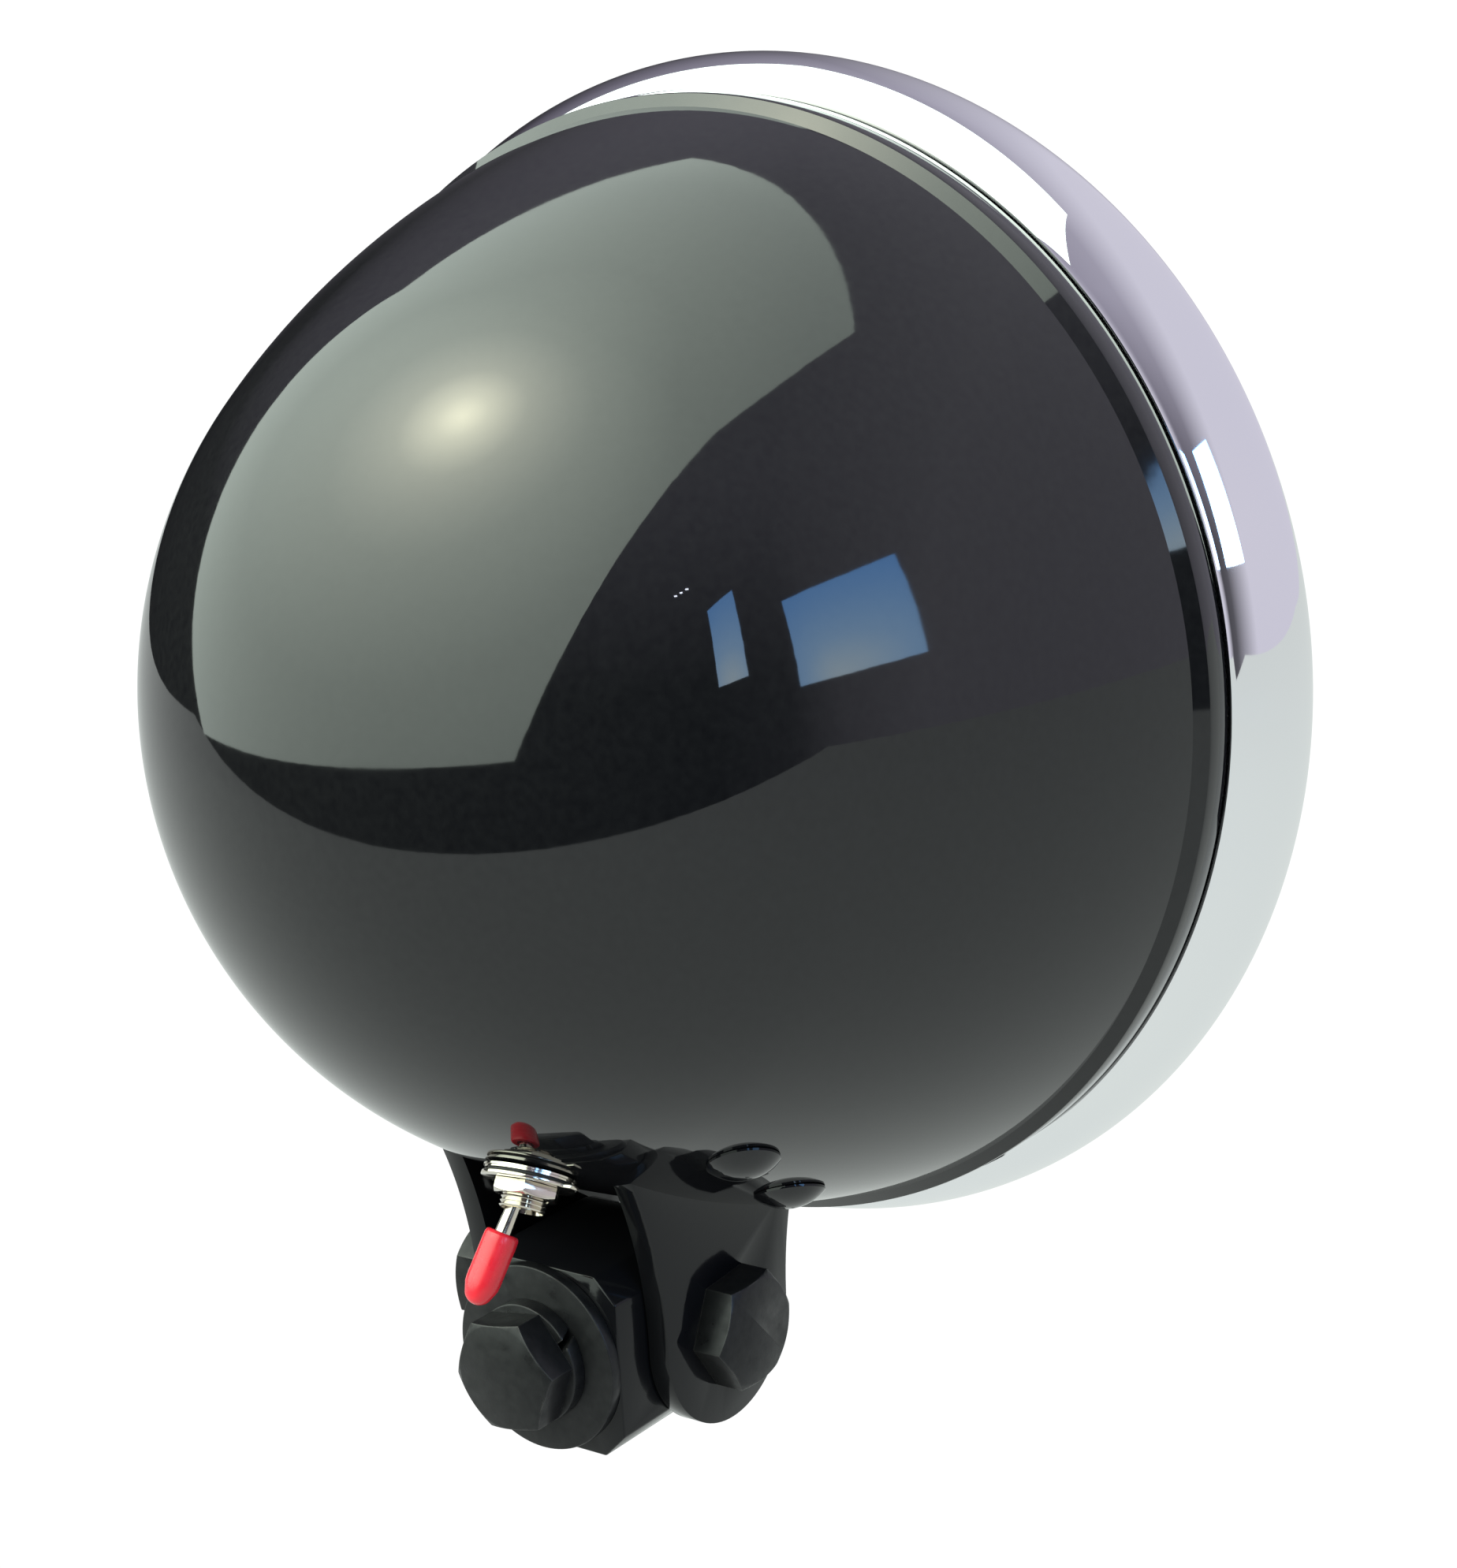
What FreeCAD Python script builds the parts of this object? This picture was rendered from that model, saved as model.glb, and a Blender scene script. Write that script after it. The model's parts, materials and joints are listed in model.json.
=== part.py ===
"""Bowl headlamp on a swivel block: painted steel bowl, chrome trim ring, sealed-beam optic,
a riveted two-ear bracket, a square mounting block and a toggle switch with a vinyl cap.

Frame: millimetres, +Z up, the lamp shines along -Y. The origin is the centre of the block's
rear face, on the axis of the mounting bolt."""

import FreeCAD, Part
import math
import os

from FreeCAD import Placement, Rotation, Vector

doc = FreeCAD.newDocument("headlamp")

# ---------------------------------------------------------------- driving dimensions
DIMENSIONS = {
    # bowl
    "lamp_axis_height": 84.0,
    "bowl_front": -48.0,
    "bowl_depth": 84.5,
    "nose_radius": 66.1,
    "flank_radius": 170.0,
    "junction_angle": 59.0,
    "collar_radius": 77.6,
    "collar_width": 4.5,
    "sheet_thickness": 1.2,
    # trim ring
    "ring_radius": 82.5,
    "ring_roll": 10.1,
    "ring_crest": -11.7,
    "ring_opening": 69.5,
    "ring_sheet": 1.0,
    # block and bracket
    "block_half": 12.7,
    "block_chamfer": 3.4,
    "pivot_setback": -19.5,
    "ear_gap": 0.3,
    "ear_thickness": 3.2,
    "ear_end_radius": 13.5,
    "foot_thickness": 2.0,
    "rivet_head_radius": 4.75,
    "rivet_head_height": 2.2,
    "rivet_shank_radius": 2.4,
    # 3/8 inch bolts
    "bolt_radius": 4.76,
    "bolt_clearance": 0.05,
    "hex_radius": 8.25,
    "hex_height": 4.9,
    "lock_washer_radius": 8.3,
    "lock_washer_thickness": 2.2,
    "flat_washer_radius": 12.9,
    "flat_washer_thickness": 1.8,
    # toggle switch
    "switch_offset": -5.0,
    "switch_depth": 53.8,
    "bushing_radius": 3.05,
    "bushing_reach": 5.0,
    "lever_tilt": 12.0,
    "cap_radius": 2.3,
    "cap_length": 9.7,
}

sheet = doc.addObject("Spreadsheet::Sheet", "Dimensions")
for row, (alias, value) in enumerate(DIMENSIONS.items(), start=1):
    sheet.set(f"A{row}", alias)
    sheet.set(f"B{row}", str(value))
    sheet.setAlias(f"B{row}", alias)
doc.recompute()


def dim(alias):
    """The value of a driving dimension, read from the sheet."""
    return float(sheet.get(alias))


AXIS_Z = dim("lamp_axis_height")
FRONT_Y = dim("bowl_front")
LAMP_ORIGIN = Vector(0, FRONT_Y, AXIS_Z)
ALONG_Y = Rotation(Vector(0, 0, 1), Vector(0, 1, 0))
SIDES = {"left": 1, "right": -1}

pieces = {}


def keep(label, piece):
    """Names a finished piece; the label names its file."""
    piece.Label = label
    pieces[label] = piece
    return piece


# ---------------------------------------------------------------- building helpers
def turned(name, outline, base=LAMP_ORIGIN, rotation=None):
    """A body turned about its own Y axis from a closed outline of (along, radius) points.

    Two points make a line and three make an arc. The sketch lies in the body's YZ plane."""
    body = doc.addObject("PartDesign::Body", name)
    sketch = body.newObject("Sketcher::SketchObject", name + "_outline")
    plane = [f for f in body.Origin.OriginFeatures if f.Role == "YZ_Plane"][0]
    sketch.AttachmentSupport = [(plane, "")]
    sketch.MapMode = "FlatFace"
    for stretch in outline:
        points = [Vector(along, radius, 0) for along, radius in stretch]
        if len(points) == 2:
            sketch.addGeometry(Part.LineSegment(*points), False)
        else:
            sketch.addGeometry(Part.Arc(*points), False)
    turn = body.newObject("PartDesign::Revolution", name + "_turned")
    turn.Profile = sketch
    turn.ReferenceAxis = (sketch, ["H_Axis"])
    turn.Angle = 360
    body.Placement = Placement(base, rotation or Rotation())
    return body


def dome(pole, rim):
    """An arc from the pole on the turning axis to the rim, part of a sphere centred on the axis."""
    rise = rim[0] - pole
    radius = (rise**2 + rim[1] ** 2) / (2 * abs(rise))
    half = math.asin(rim[1] / radius) / 2
    middle = pole + math.copysign(radius * (1 - math.cos(half)), rise)
    return (pole, 0.0), (middle, radius * math.sin(half)), rim


def corners(*points):
    """A closed outline of straight lines through the points."""
    return [(points[i], points[(i + 1) % len(points)]) for i in range(len(points))]


def cylinder(name, radius, height, placement):
    """A cylinder whose radius and height are sheet expressions or numbers."""
    piece = doc.addObject("Part::Cylinder", name)
    for field, value in (("Radius", radius), ("Height", height)):
        if isinstance(value, str):
            piece.setExpression(field, value)
        else:
            setattr(piece, field, value)
    piece.Placement = placement
    return piece


def block_of(name, size, low):
    """A box of that size with its lowest corner at low."""
    piece = doc.addObject("Part::Box", name)
    piece.Length, piece.Width, piece.Height = size
    piece.Placement = Placement(Vector(*low), Rotation())
    return piece


def cut(name, base, *tools):
    for number, tool in enumerate(tools):
        less = doc.addObject("Part::Cut", f"{name}_{number}")
        less.Base = base
        less.Tool = tool
        base = less
    return base


def fuse(name, *members):
    joined = doc.addObject("Part::MultiFuse", name)
    joined.Shapes = list(members)
    return joined


def common(name, *members):
    shared = doc.addObject("Part::MultiCommon", name)
    shared.Shapes = list(members)
    return shared


def group(name, *members):
    gathered = doc.addObject("Part::Compound", name)
    gathered.Links = list(members)
    return gathered


# ---------------------------------------------------------------- the bowl's surface
JUNCTION = math.radians(dim("junction_angle"))
NOSE_CENTRE = dim("bowl_depth") - dim("nose_radius")
FLANK_CENTRE = (
    NOSE_CENTRE + (dim("nose_radius") - dim("flank_radius")) * math.cos(JUNCTION),
    (dim("nose_radius") - dim("flank_radius")) * math.sin(JUNCTION),
)


def bowl_point(along, inset=0.0):
    """(along, radius) on the bowl's surface, inset millimetres inside it, for the flank or nose."""
    nose = dim("nose_radius") - inset
    if along >= NOSE_CENTRE + nose * math.cos(JUNCTION):
        return along, math.sqrt(max(nose**2 - (along - NOSE_CENTRE) ** 2, 0.0))
    flank = dim("flank_radius") - inset
    return along, FLANK_CENTRE[1] + math.sqrt(flank**2 - (along - FLANK_CENTRE[0]) ** 2)


def bowl_arcs(start, inset):
    """The flank and nose arcs from the flank's point at start to the pole, inset inside the surface."""
    nose = dim("nose_radius") - inset
    join = (NOSE_CENTRE + nose * math.cos(JUNCTION), nose * math.sin(JUNCTION))
    half = JUNCTION / 2
    flank_middle = bowl_point((start + join[0]) / 2, inset)
    nose_middle = (NOSE_CENTRE + nose * math.cos(half), nose * math.sin(half))
    pole = (NOSE_CENTRE + nose, 0.0)
    return [(bowl_point(start, inset), flank_middle, join), (join, nose_middle, pole)]


def bowl_seat(across, along, inset=0.0):
    """A point on the bowl's underside and the outward normal there."""
    _, radius = bowl_point(along, inset)
    nose_part = along >= NOSE_CENTRE + dim("nose_radius") * math.cos(JUNCTION)
    centre = (NOSE_CENTRE, 0.0) if nose_part else FLANK_CENTRE
    slope = Vector(along - centre[0], radius - centre[1], 0).normalize()
    turn = math.asin(across / radius)
    point = LAMP_ORIGIN + Vector(across, along, -radius * math.cos(turn))
    normal = Vector(slope.y * math.sin(turn), slope.x, -slope.y * math.cos(turn))
    return point, normal


STEP_ALONG = dim("collar_width") + 1.6
SHEET = dim("sheet_thickness")


def bowl_solid(name, inset):
    """The bowl's closed outer form, inset millimetres inside its surface."""
    start = bowl_point(STEP_ALONG, inset)
    arcs = bowl_arcs(STEP_ALONG, inset)
    pole = arcs[-1][-1]
    front = [((STEP_ALONG, 0.0), start), *arcs, (pole, (STEP_ALONG, 0.0))]
    return turned(name, front)


# ---------------------------------------------------------------- bowl and trim ring
def make_bowl(tools):
    collar = dim("collar_radius")
    width = dim("collar_width")
    outer = bowl_arcs(STEP_ALONG, 0.0)
    inner = bowl_arcs(STEP_ALONG, SHEET)
    outline = [
        ((0.0, collar), (width, collar)),
        ((width, collar), outer[0][0]),
        *outer,
        (outer[-1][-1], inner[-1][-1]),
        *[tuple(reversed(arc)) for arc in reversed(inner)],
        (inner[0][0], (width, collar - SHEET)),
        ((width, collar - SHEET), (0.0, collar - SHEET)),
        ((0.0, collar - SHEET), (0.0, collar)),
    ]
    shell = turned("bowl_shell", outline)
    return keep("bowl", cut("bowl", shell, *tools))


def make_trim_ring():
    crest, radius, roll = dim("ring_crest"), dim("ring_radius"), dim("ring_roll")
    wall, opening = dim("ring_sheet"), dim("ring_opening")
    hem = (-0.4, 77.9)
    slant = math.sqrt(0.5)

    def skin(depth):
        bend = roll - depth
        middle = (crest - bend * slant, radius - roll + bend * slant)
        front = (crest - bend, radius - roll)
        return [
            ((hem[0], hem[1] - depth), (-5.8, 81.1 - depth), (crest, radius - depth)),
            ((crest, radius - depth), middle, front),
            (front, (front[0], opening)),
        ]

    outer, inner = skin(0.0), skin(wall)
    outline = [
        *outer,
        (outer[-1][-1], inner[-1][-1]),
        *[tuple(reversed(stretch)) for stretch in reversed(inner)],
        (inner[0][0], outer[0][0]),
    ]
    keep("trim_ring", turned("trim_ring", outline))


# ---------------------------------------------------------------- the optic and what holds it
def make_optic():
    keep("lens_gasket", turned("lens_gasket", corners(
        (-20.65, 70.0), (-20.65, 72.3), (-19.6, 72.3), (-19.6, 70.0))))
    keep("lens_glass", turned("lens_glass", [
        dome(-29.0, (-19.5, 69.2)),
        ((-19.5, 69.2), (-19.5, 72.3)),
        ((-19.5, 72.3), (-16.6, 72.3)),
        ((-16.6, 72.3), (-16.6, 68.2)),
        tuple(reversed(dome(-25.8, (-16.6, 68.2)))),
        ((-25.8, 0.0), (-29.0, 0.0)),
    ]))
    keep("reflector", turned("reflector", [
        ((-16.5, 72.3), (-13.8, 72.3)),
        ((-13.8, 72.3), (-13.8, 70.6)),
        ((-13.8, 70.6), (14.0, 53.4), (31.0, 20.6)),
        ((31.0, 20.6), (38.0, 20.6)),
        ((38.0, 20.6), (38.0, 11.0)),
        ((38.0, 11.0), (36.0, 11.0)),
        ((36.0, 11.0), (36.0, 18.6)),
        ((36.0, 18.6), (29.6, 18.6)),
        ((29.6, 18.6), (13.0, 51.4), (-14.6, 68.4)),
        ((-14.6, 68.4), (-16.5, 68.4)),
        ((-16.5, 68.4), (-16.5, 72.3)),
    ]))
    keep("retaining_ring", turned("retaining_ring", corners(
        (-13.7, 71.4), (-12.6, 71.4), (-12.6, 73.2), (1.8, 73.2), (1.8, 76.3),
        (0.7, 76.3), (0.7, 74.4), (-13.7, 74.4))))
    clips = []
    for number in range(3):
        clip = block_of(f"clip_{number}", (8.0, 1.0, 6.1), (-4.0, -9.0, 74.5))
        turn = Rotation(Vector(0, 1, 0), 60 + 120 * number)
        clip.Placement = Placement(LAMP_ORIGIN, turn).multiply(clip.Placement)
        clips.append(clip)
    keep("trim_clips", group("trim_clips", *clips))


def make_bulb():
    keep("bulb_glass", turned("bulb_glass", [
        dome(8.0, (16.5, 8.5)),
        ((16.5, 8.5), (38.1, 8.5)),
        ((38.1, 8.5), (38.1, 0.0)),
        ((38.1, 0.0), (8.0, 0.0)),
    ]))
    keep("bulb_base", turned("bulb_base", corners(
        (38.2, 0.0), (38.2, 19.5), (39.7, 19.5), (39.7, 11.0), (47.0, 11.0), (47.0, 0.0))))
    blades = []
    for number, angle in enumerate((0, 90, 270)):
        blade = block_of(f"blade_{number}", (8.0, 7.9, 0.8), (-4.0, 47.1, 6.2))
        turn = Rotation(Vector(0, 1, 0), angle)
        blade.Placement = Placement(LAMP_ORIGIN, turn).multiply(blade.Placement)
        blades.append(blade)
    keep("bulb_terminals", group("bulb_terminals", *blades))
    keep("bulb_boot", turned("bulb_boot", corners(
        (32.0, 20.8), (32.0, 22.6), (42.0, 22.6), (45.8, 13.4), (45.8, 11.2),
        (44.4, 11.2), (44.4, 12.6), (41.0, 20.8))))
    body = block_of("plug_block", (24.0, 14.0, 22.0), (-12.0, 0.3, AXIS_Z - 11.0))
    rear = cylinder("plug_exit", 4.5, 5.0, Placement(Vector(0, 14.3, AXIS_Z), ALONG_Y))
    keep("connector_plug", cut("plug", fuse("plug_solid", body, rear), *blades))


# ---------------------------------------------------------------- bolts, nuts and washers
def hex_head(name, placement, height="Dimensions.hex_height", circumradius="Dimensions.hex_radius"):
    """A hexagon with its outer corners bevelled, standing on local z = 0."""
    prism = doc.addObject("Part::Prism", name + "_prism")
    prism.Polygon = 6
    prism.setExpression("Circumradius", circumradius)
    prism.setExpression("Height", height)
    doc.recompute()
    tall, wide = float(prism.Height), float(prism.Circumradius)
    bevel = doc.addObject("Part::Cone", name + "_bevel")
    bevel.Radius1 = wide * 0.86 + tall / math.tan(math.radians(30))
    bevel.Radius2 = wide * 0.86
    bevel.Height = tall
    head = common(name + "_head", prism, bevel)
    head.Placement = placement
    return head


def washer(name, outer, bore, thick, placement):
    disc = cylinder(name + "_disc", outer, thick, Placement())
    hole = cylinder(name + "_hole", bore, thick, Placement())
    ring = cut(name + "_ring", disc, hole)
    ring.Placement = placement
    return ring


def split_washer(name, placement, split_angle):
    """A spring washer with one slanting cut through it."""
    ring = washer(name, "Dimensions.lock_washer_radius", "Dimensions.bolt_radius + 0.3",
                  "Dimensions.lock_washer_thickness", Placement())
    gap = block_of(name + "_gap", (8.0, 1.0, 6.0), (2.5, -0.5, -3.0))
    slant = Rotation(Vector(1, 0, 0), 25)
    middle = Vector(0, 0, dim("lock_washer_thickness") / 2)
    turn = Placement(middle, Rotation(Vector(0, 0, 1), split_angle))
    gap.Placement = turn.multiply(Placement(Vector(), slant)).multiply(gap.Placement)
    parted = cut(name + "_parted", ring, gap)
    parted.Placement = placement
    return parted


PIVOT_Y = dim("pivot_setback")
BLOCK_HALF = dim("block_half")
EAR_INNER = BLOCK_HALF + dim("ear_gap")
EAR_OUTER = EAR_INNER + dim("ear_thickness")
MOUNT_HEX_TURN = 8.7
PIVOT_HEX_TURN = 25.6


def make_block():
    """Square bar, bevelled along its four long edges, with a rounded front end about the pivot."""
    chamfer = dim("block_chamfer")
    body = doc.addObject("PartDesign::Body", "block_bar")
    sketch = body.newObject("Sketcher::SketchObject", "block_section")
    plane = [f for f in body.Origin.OriginFeatures if f.Role == "XZ_Plane"][0]
    sketch.AttachmentSupport = [(plane, "")]
    sketch.MapMode = "FlatFace"
    near, far = BLOCK_HALF - chamfer, BLOCK_HALF
    ring = [(near, -far), (far, -near), (far, near), (near, far),
            (-near, far), (-far, near), (-far, -near), (-near, -far)]
    for (x0, z0), (x1, z1) in corners(*ring):
        sketch.addGeometry(Part.LineSegment(Vector(x0, z0, 0), Vector(x1, z1, 0)), False)
    pad = body.newObject("PartDesign::Pad", "block_length")
    pad.Profile = sketch
    pad.setExpression("Length", "Dimensions.block_half - Dimensions.pivot_setback")
    doc.recompute()
    if body.Shape.BoundBox.YMax > 1:
        pad.Reversed = True
        doc.recompute()
    barrel = cylinder("block_knuckle", "Dimensions.block_half", "2 * Dimensions.block_half",
                      Placement(Vector(-BLOCK_HALF, PIVOT_Y, 0), Rotation(Vector(0, 1, 0), 90)))
    rear_part = block_of("block_rear", (2 * BLOCK_HALF, -PIVOT_Y, 2 * BLOCK_HALF),
                         (-BLOCK_HALF, PIVOT_Y, -BLOCK_HALF))
    shaped = common("block_shaped", body, fuse("block_reach", barrel, rear_part))
    cross = cylinder("pivot_hole", "Dimensions.bolt_radius + Dimensions.bolt_clearance",
                     "2 * Dimensions.block_half",
                     Placement(Vector(-BLOCK_HALF, PIVOT_Y, 0), Rotation(Vector(0, 1, 0), 90)))
    tapped = cylinder("tapped_hole", "Dimensions.bolt_radius + Dimensions.bolt_clearance", 13.5,
                      Placement(Vector(0, -13.5, 0), ALONG_Y))
    keep("mount_block", cut("mount_block", shaped, cross, tapped))


def make_mount_bolt():
    flat, lock = dim("flat_washer_thickness"), dim("lock_washer_thickness")
    on_axis = Placement(Vector(0, 0, 0), ALONG_Y)
    keep("mount_flat_washer", washer("mount_flat", "Dimensions.flat_washer_radius",
                                     "Dimensions.bolt_radius + 0.4",
                                     "Dimensions.flat_washer_thickness", on_axis))
    keep("mount_lock_washer", split_washer("mount_lock", Placement(Vector(0, flat, 0), ALONG_Y), 215))
    turn = Rotation(Vector(0, 1, 0), MOUNT_HEX_TURN).multiply(ALONG_Y)
    head = hex_head("mount_bolt", Placement(Vector(0, flat + lock, 0), turn))
    shank = cylinder("mount_shank", "Dimensions.bolt_radius", 12.0 + flat + lock,
                     Placement(Vector(0, -12.0, 0), ALONG_Y))
    keep("mount_bolt", fuse("mount_bolt", head, shank))


def make_pivot_bolt():
    toward_right = Rotation(Vector(0, 0, 1), Vector(-1, 0, 0))
    toward_left = Rotation(Vector(0, 0, 1), Vector(1, 0, 0))
    lock = dim("lock_washer_thickness")
    nut_height = 8.0
    turn = Rotation(Vector(1, 0, 0), PIVOT_HEX_TURN)
    head = hex_head("pivot_bolt", Placement(Vector(-EAR_OUTER, PIVOT_Y, 0), turn.multiply(toward_right)))
    length = 2 * EAR_OUTER + lock + nut_height + 1.5
    shank = cylinder("pivot_shank", "Dimensions.bolt_radius", length,
                     Placement(Vector(-EAR_OUTER, PIVOT_Y, 0), toward_left))
    keep("pivot_bolt", fuse("pivot_bolt", head, shank))
    keep("pivot_lock_washer", split_washer(
        "pivot_lock", Placement(Vector(EAR_OUTER, PIVOT_Y, 0), toward_left), 60))
    nut_at = Placement(Vector(EAR_OUTER + lock, PIVOT_Y, 0), toward_left)
    solid = hex_head("pivot_nut", nut_at, height="8")
    bore = cylinder("nut_bore", "Dimensions.bolt_radius", nut_height, nut_at)
    keep("pivot_nut", cut("pivot_nut", solid, bore))


# ---------------------------------------------------------------- bracket ears and rivets
RIVET_PLACES = ((31.6, 43.8), (27.2, 28.2))


def rivet_seat(side, across, along):
    point, normal = bowl_seat(side * across, along)
    return point, Rotation(Vector(0, 1, 0), normal)


def make_ears(cavity, foot_inner):
    """Each ear is a plate through a slot in the bowl with a foot that lies on the bowl's inside."""
    radius = dim("ear_end_radius")
    slots, holes = [], []
    for name, side in SIDES.items():
        body = doc.addObject("PartDesign::Body", f"ear_{name}_plate")
        sketch = body.newObject("Sketcher::SketchObject", f"ear_{name}_outline")
        plane = [f for f in body.Origin.OriginFeatures if f.Role == "YZ_Plane"][0]
        sketch.AttachmentSupport = [(plane, "")]
        sketch.MapMode = "FlatFace"
        outline = [
            ((PIVOT_Y - radius, 0.0), (PIVOT_Y, -radius), (PIVOT_Y + radius, 0.0)),
            ((PIVOT_Y + radius, 0.0), (-4.7, 14.0), (-0.4, 27.0)),
            ((-0.4, 27.0), (-0.4, 34.0)),
            ((-0.4, 34.0), (-35.6, 34.0)),
            ((-35.6, 34.0), (-35.6, 14.0)),
            ((-35.6, 14.0), (-33.6, 6.0), (PIVOT_Y - radius, 0.0)),
        ]
        for stretch in outline:
            points = [Vector(y, z, 0) for y, z in stretch]
            make = Part.LineSegment if len(points) == 2 else Part.Arc
            sketch.addGeometry(make(*points), False)
        pad = body.newObject("PartDesign::Pad", f"ear_{name}_thickness")
        pad.Profile = sketch
        pad.setExpression("Length", "Dimensions.ear_thickness")
        low = EAR_INNER if side > 0 else -EAR_OUTER
        body.Placement = Placement(Vector(low, 0, 0), Rotation())
        foot_low = EAR_INNER if side > 0 else -EAR_INNER - 25.0
        foot_box = block_of(f"ear_{name}_foot_box", (25.0, 35.2, 45.0), (foot_low, -35.6, 5.0))
        foot = common(f"ear_{name}_foot", cavity, foot_box)
        hole = cylinder(f"ear_{name}_hole", "Dimensions.bolt_radius + Dimensions.bolt_clearance", 12.0,
                        Placement(Vector(side * 14.5 - 6.0, PIVOT_Y, 0), Rotation(Vector(0, 1, 0), 90)))
        rivet_holes = []
        for number, place in enumerate(RIVET_PLACES):
            point, turn = rivet_seat(side, *place)
            inward = Placement(point, turn).multiply(Placement(Vector(0, -8, 0), ALONG_Y))
            rivet_holes.append(cylinder(f"rivet_hole_{name}_{number}",
                                        "Dimensions.rivet_shank_radius + 0.05", 16.0, inward))
        holes += rivet_holes
        whole = fuse(f"ear_{name}_solid", body, foot)
        keep(f"bracket_ear_{name}", cut(f"bracket_ear_{name}", whole, foot_inner, hole, *rivet_holes))
        slot_low = EAR_INNER - 0.1 if side > 0 else -EAR_OUTER - 0.1
        slots.append(block_of(f"slot_{name}", (dim("ear_thickness") + 0.2, 35.4, 60.0),
                              (slot_low, -35.7, -5.0)))
    return slots + holes


def make_rivets():
    """Dome-headed rivets: head outside the bowl, shank through bowl and foot, tail inside."""
    head, height = dim("rivet_head_radius"), dim("rivet_head_height")
    shank = dim("rivet_shank_radius")
    grip = SHEET + dim("foot_thickness") + 0.15
    members = []
    for name, side in SIDES.items():
        for number, place in enumerate(RIVET_PLACES):
            outline = [
                dome(height, (0.3, head)),
                ((0.3, head), (0.0, head)),
                ((0.0, head), (0.0, shank)),
                ((0.0, shank), (-grip, shank)),
                ((-grip, shank), (-grip, 3.6)),
                ((-grip, 3.6), (-grip - 1.3, 3.6)),
                ((-grip - 1.3, 3.6), (-grip - 1.3, 0.0)),
                ((-grip - 1.3, 0.0), (height, 0.0)),
            ]
            point, turn = rivet_seat(side, *place)
            members.append(turned(f"rivet_{name}_{number}", outline, point, turn))
    keep("bracket_rivets", group("bracket_rivets", *members))


# ---------------------------------------------------------------- wire outlet
GROMMET_ALONG = 15.0


def make_grommet():
    point, normal = bowl_seat(0.0, GROMMET_ALONG)
    turn = Rotation(Vector(0, 1, 0), normal)
    keep("wire_grommet", turned("wire_grommet", corners(
        (1.7, 2.6), (1.7, 5.4), (0.1, 6.6), (0.1, 4.8), (-1.5, 4.8), (-1.5, 6.4),
        (-2.9, 5.4), (-2.9, 2.6)), point, turn))
    return cylinder("grommet_hole", 4.9, 12.0,
                    Placement(point, turn).multiply(Placement(Vector(0, -6, 0), ALONG_Y)))


# ---------------------------------------------------------------- toggle switch
SWITCH_POINT, SWITCH_NORMAL = bowl_seat(dim("switch_offset"), dim("switch_depth"))
SWITCH_TURN = Rotation(Vector(0, 1, 0), SWITCH_NORMAL)
LEVER_PIVOT = -2.0
CAP_START = 8.3


def at_switch(along=0.0):
    """Local +Y points straight out of the bowl along the switch's bushing."""
    return Placement(SWITCH_POINT, SWITCH_TURN).multiply(Placement(Vector(0, along, 0), Rotation()))


def switch_ring(label, low, high, outer):
    ring = washer(label, outer, 3.25, high - low, at_switch(low).multiply(Placement(Vector(), ALONG_Y)))
    return keep(label, ring)


def lever_frame():
    """Frame at the lever's pivot, leaned to its rest position."""
    lean = Rotation(Vector(0, 0, 1), -dim("lever_tilt"))
    return at_switch(LEVER_PIVOT).multiply(Placement(Vector(), lean))


def make_switch():
    reach = dim("bushing_reach")
    bush = dim("bushing_radius")
    frame = at_switch()
    inner_end = LEVER_PIVOT - 2.2
    keep("switch_bushing", turned("switch_bushing", corners(
        (inner_end, 1.8), (inner_end, bush), (reach, bush), (reach, 2.75),
        (LEVER_PIVOT + 1.4, 1.8)), frame.Base, frame.Rotation))
    housing_top = inner_end - 0.2
    housing = block_of("switch_box", (13.0, 9.6, 8.2), (-6.5, housing_top - 9.6, -4.1))
    housing.Placement = frame.multiply(housing.Placement)
    keep("switch_housing", housing)
    pins = []
    for number, across in enumerate((-4.7, 0.0, 4.7)):
        pin = block_of(f"pin_{number}", (0.8, 4.0, 2.0), (across - 0.4, housing_top - 13.7, -1.0))
        pin.Placement = frame.multiply(pin.Placement)
        pins.append(pin)
    keep("switch_terminals", group("switch_terminals", *pins))
    switch_ring("switch_backing_washer", 0.02, 0.27, 6.1)
    switch_ring("switch_lock_washer", 0.3, 0.55, 5.9)
    switch_ring("switch_seal", 0.58, 0.92, 5.5)
    key = washer("key_ring", 6.2, 3.25, 0.55, at_switch(0.95).multiply(Placement(Vector(), ALONG_Y)))
    tab = block_of("key_tab", (1.6, 0.55, 2.0), (-7.3, 0.95, -1.0))
    tab.Placement = frame.multiply(tab.Placement)
    keep("switch_key_washer", fuse("switch_key", key, tab))
    nut_at = at_switch(1.55).multiply(Placement(Vector(), ALONG_Y))
    solid = hex_head("switch_nut", nut_at, height="1.75", circumradius="4.62")
    bore = cylinder("switch_nut_bore", 3.1, 1.75, nut_at)
    keep("switch_nut", cut("switch_nut", solid, bore))
    return cylinder("switch_hole", 3.3, 12.0, at_switch(-6).multiply(Placement(Vector(), ALONG_Y)))


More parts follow.
